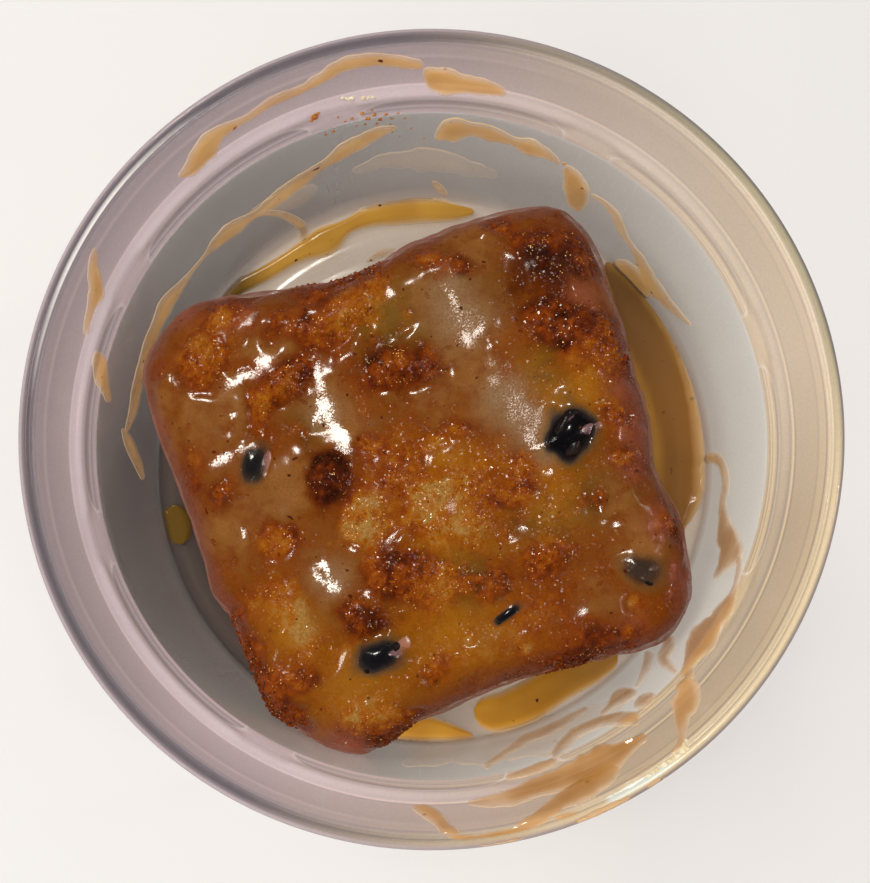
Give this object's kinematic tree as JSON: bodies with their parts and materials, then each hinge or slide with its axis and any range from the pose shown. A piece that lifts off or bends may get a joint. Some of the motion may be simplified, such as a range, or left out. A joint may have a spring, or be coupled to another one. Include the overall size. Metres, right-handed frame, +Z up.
{
  "type": "bread pudding",
  "caption": "Square of raisin bread pudding under a glossy caramel glaze, served in a round clear plastic tub with sauce pooled on its floor. Stands on its foot ring.",
  "frame": {"origin": "middle of the tub's foot, on the surface that the tub stands on", "axes": "+Z up out of the tub's mouth; +X to the right and +Y away from the viewer, with the pudding turned about 17 degrees anticlockwise"},
  "size_m": [0.1168, 0.1168, 0.06],
  "materials": {
    "clear_tub": "clear, slightly hazy thin-walled plastic with fine scratches",
    "baked_pudding": "browned sugary crust and moist yellow crumb, wet with caramel glaze",
    "raisin": "near-black wrinkled skin, glossy with glaze",
    "caramel_sauce": "thin milky caramel sauce with dark spice specks"
  },
  "bodies": {
    "root": {"tub": "clear_tub", "pudding": "baked_pudding", "raisin_right": "raisin", "raisin_near": "raisin", "raisin_corner": "raisin", "raisin_sliver": "raisin", "raisin_left": "raisin", "sauce_right": "caramel_sauce", "sauce_front": "caramel_sauce", "sauce_near": "caramel_sauce", "sauce_back": "caramel_sauce", "sauce_left": "caramel_sauce"}
  },
  "joints": []
}
